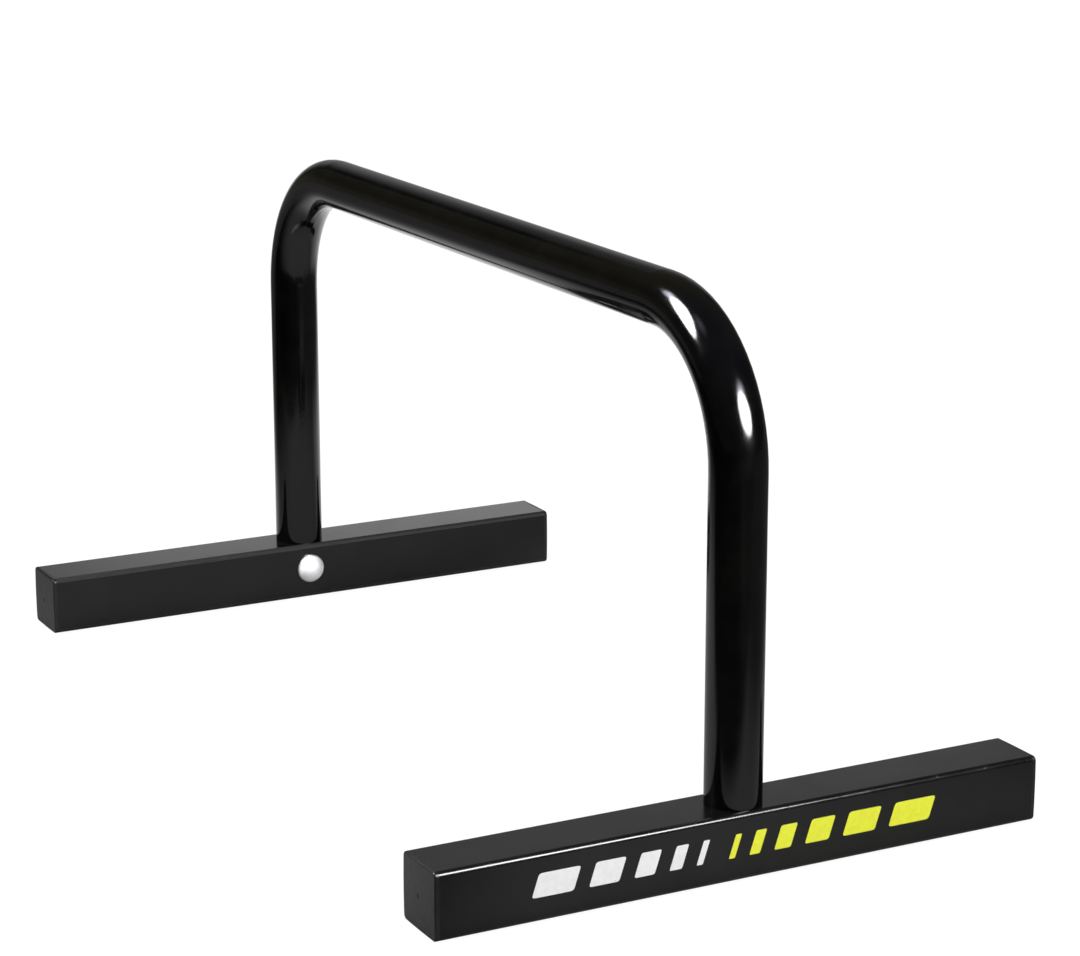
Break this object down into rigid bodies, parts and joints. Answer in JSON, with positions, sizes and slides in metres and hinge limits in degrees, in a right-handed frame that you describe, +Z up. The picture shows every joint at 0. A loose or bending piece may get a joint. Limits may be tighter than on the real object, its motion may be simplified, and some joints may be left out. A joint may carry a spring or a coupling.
{
  "type": "parallette bar",
  "caption": "Low parallette bar for push-ups and dips: a round tube bent down at both ends into square-tube feet, with plastic end plugs and capped fixing screws.",
  "frame": {"origin": "on the floor, at the middle of the footprint, midway between the two legs", "axes": "+Z up; +X along the grip towards the right leg, with the user at -Y; +Y along the feet, away from the user"},
  "size_m": [0.66, 0.396, 0.333],
  "materials": {
    "tube_coat": "black powder coat, satin to gloss",
    "foot_coat": "black powder coat, satin",
    "plug_plastic": "moulded black plastic, matte",
    "bright_chrome": "polished",
    "zinc_steel": "bright zinc plate",
    "plain_steel": "bare steel with weld heat tint",
    "print_white": "screen-printed ink, satin",
    "print_yellow": "screen-printed ink, satin"
  },
  "bodies": {
    "root": {"handle_bar": "tube_coat", "left_foot": "foot_coat", "left_foot_front_plug": "plug_plastic", "left_foot_rear_plug": "plug_plastic", "left_weld_nut": "plain_steel", "left_bolt": "zinc_steel", "left_bolt_washer": "zinc_steel", "left_bolt_cap": "bright_chrome", "right_foot": "foot_coat", "right_foot_front_plug": "plug_plastic", "right_foot_rear_plug": "plug_plastic", "right_weld_nut": "plain_steel", "right_bolt": "zinc_steel", "right_bolt_washer": "zinc_steel", "right_bolt_cap": "bright_chrome"}
  },
  "joints": []
}
